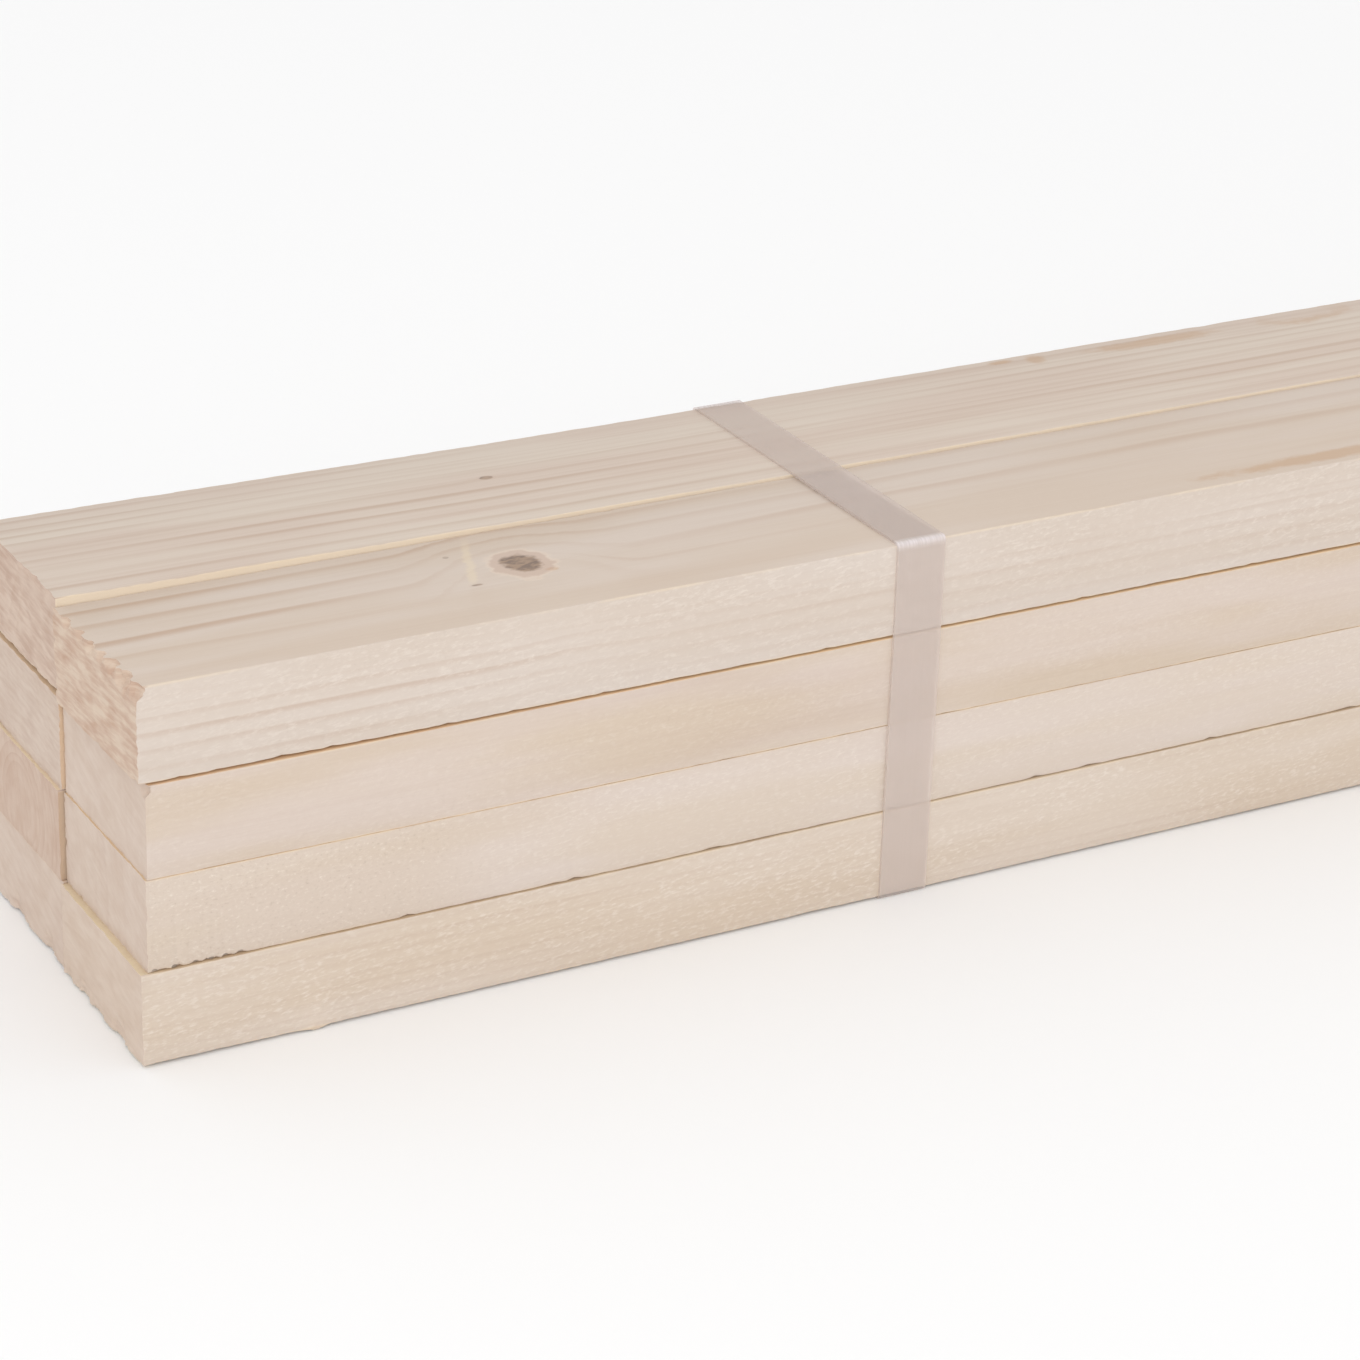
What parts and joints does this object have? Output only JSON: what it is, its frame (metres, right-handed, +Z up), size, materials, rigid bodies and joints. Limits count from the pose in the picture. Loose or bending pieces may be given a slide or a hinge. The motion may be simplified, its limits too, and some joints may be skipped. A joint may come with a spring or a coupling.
{
  "type": "strapped bundle of wooden battens",
  "caption": "Strapped bundle of fine-sawn softwood battens, stacked side by side and in layers, lying flat; roofing and framing stock.",
  "frame": {"origin": "under the middle of the bundle, on the plane that the two straps' undersides lie on", "axes": "+X along the battens, away from the pictured end; +Y across, towards the back column; +Z up"},
  "size_m": [2.002, 0.0926, 0.0868],
  "materials": {
    "sawn_spruce": "fine-sawn, untreated, slightly fuzzy",
    "strap_plastic": "milky translucent polypropylene band"
  },
  "bodies": {
    "root": {"bottom_front_batten": "sawn_spruce", "bottom_back_batten": "sawn_spruce", "lower_front_batten": "sawn_spruce", "lower_back_batten": "sawn_spruce", "upper_front_batten": "sawn_spruce", "upper_back_batten": "sawn_spruce", "top_front_batten": "sawn_spruce", "top_back_batten": "sawn_spruce", "near_strap": "strap_plastic", "far_strap": "strap_plastic"}
  },
  "joints": []
}
